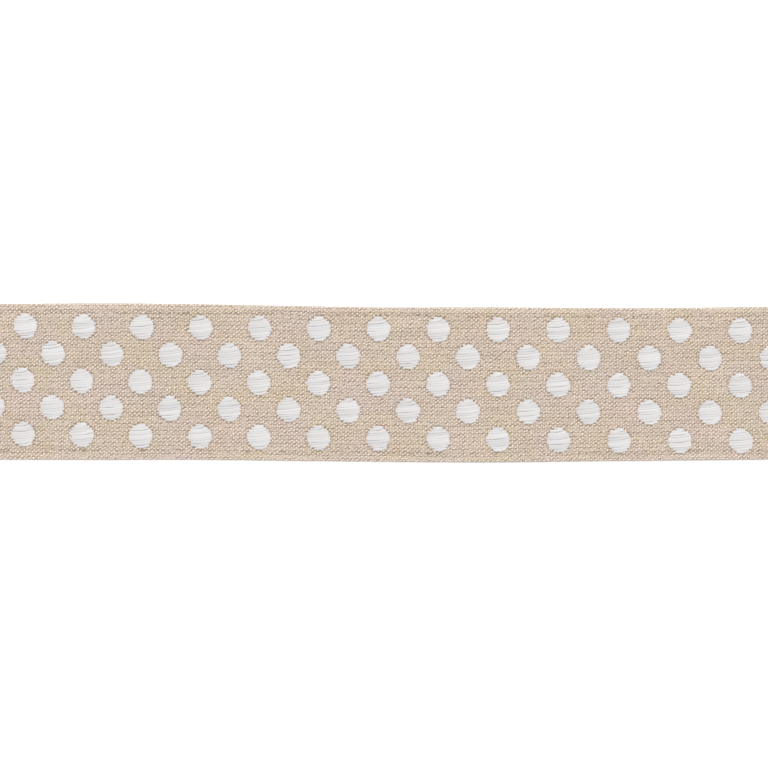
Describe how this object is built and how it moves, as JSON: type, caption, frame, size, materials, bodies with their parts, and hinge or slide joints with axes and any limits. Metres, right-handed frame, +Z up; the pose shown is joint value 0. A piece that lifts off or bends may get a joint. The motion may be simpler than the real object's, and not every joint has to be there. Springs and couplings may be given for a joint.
{
  "type": "dotted tape trim",
  "caption": "Cut length of flat woven tape trim, linen coloured, with rows of raised satin-stitched white dots.",
  "frame": {"origin": "middle of the tape's underside, on the surface that it lies on", "axes": "+X along the tape, +Y across it from selvedge to selvedge, +Z up out of the face with the dots"},
  "size_m": [0.2424, 0.039, 0.0013],
  "materials": {
    "linen": "woven",
    "floss": "satin stitched"
  },
  "bodies": {
    "root": {"tape": "linen"}
  },
  "joints": []
}
